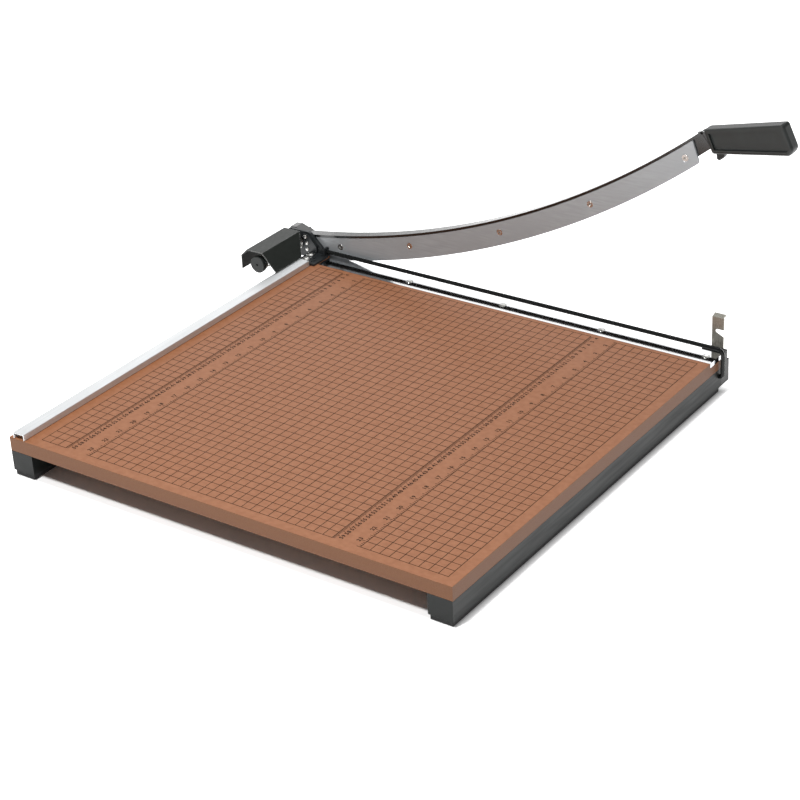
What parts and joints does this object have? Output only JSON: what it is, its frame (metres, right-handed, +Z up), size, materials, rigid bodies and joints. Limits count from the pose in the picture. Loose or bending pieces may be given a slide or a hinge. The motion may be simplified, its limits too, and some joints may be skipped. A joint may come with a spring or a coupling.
{
  "type": "guillotine paper cutter",
  "caption": "Hand guillotine paper cutter: flat board on rails, ledger with a guard rod, fence, curved blade on a hinged arm with a grip, sprung pivot and a hook latch.",
  "frame": {"origin": "centre of the whole box in X and Y with the arm as modelled, on the plane under the rubber strips", "axes": "+X across the board towards the cutting edge, +Y towards the fence and the pivot, +Z up"},
  "size_m": [0.6384, 0.7732, 0.3694],
  "materials": {
    "board_brown": "satin lacquer over a printed grid",
    "rail_black": "black paint on hardwood",
    "pad_rubber": "matt",
    "fence_aluminium": "satin, drawn lengthwise",
    "bright_steel": "ground and polished",
    "blade_steel": "ground",
    "dark_steel": "dark satin coating",
    "black_paint": "gloss black",
    "hood_grey": "satin dark grey",
    "zinc_plate": "bright zinc",
    "black_plastic": "finely textured",
    "spring_steel": "bare, slightly brown",
    "bronze": "turned"
  },
  "bodies": {
    "base": {"base_board": "board_brown", "front_rail": "rail_black", "rear_rail": "rail_black", "rail_screw_1": "zinc_plate", "rail_screw_2": "zinc_plate", "rail_screw_3": "zinc_plate", "rail_screw_4": "zinc_plate", "rail_screw_5": "zinc_plate", "rail_screw_6": "zinc_plate", "foot_front": "pad_rubber", "foot_rear": "pad_rubber", "ledger_blade": "bright_steel", "ledger_screw_1": "zinc_plate", "ledger_screw_2": "zinc_plate", "ledger_screw_3": "zinc_plate", "ledger_screw_4": "zinc_plate", "fence": "fence_aluminium", "guard_rod": "black_paint", "pivot_base": "dark_steel", "pivot_upright": "dark_steel", "bracket_bolt_1": "zinc_plate", "bracket_bolt_2": "zinc_plate", "upright_rivet_1": "zinc_plate", "upright_rivet_2": "zinc_plate", "upright_rivet_3": "zinc_plate", "spring_hood": "hood_grey", "pivot_bush": "bronze", "spring_washer": "zinc_plate", "pressure_spring": "spring_steel", "latch_block": "black_paint", "block_screw_1": "zinc_plate", "block_screw_2": "zinc_plate", "latch_pin": "zinc_plate"},
    "arm": {"arm": "black_paint", "blade": "blade_steel", "blade_screw_1": "zinc_plate", "blade_screw_2": "zinc_plate", "blade_screw_3": "zinc_plate", "blade_screw_4": "zinc_plate", "blade_screw_5": "zinc_plate", "catch_pin": "zinc_plate", "handle": "black_plastic", "pivot_shaft": "bright_steel", "spring_cap": "black_plastic", "arm_washer": "zinc_plate", "arm_nut": "zinc_plate"},
    "latch": {"latch_hook": "spring_steel"}
  },
  "joints": [
    {"name": "arm_pivot", "type": "hinge", "parent": "base", "child": "arm", "pos_m": [0.29215, 0.36053, 0.0655], "axis": [-1, 0, 0], "range_deg": [-21.5, 45]},
    {"name": "latch_pivot", "type": "hinge", "parent": "base", "child": "latch", "pos_m": [0.30835, -0.28747, 0.045], "axis": [1, 0, 0], "range_deg": [0, 25]}
  ]
}
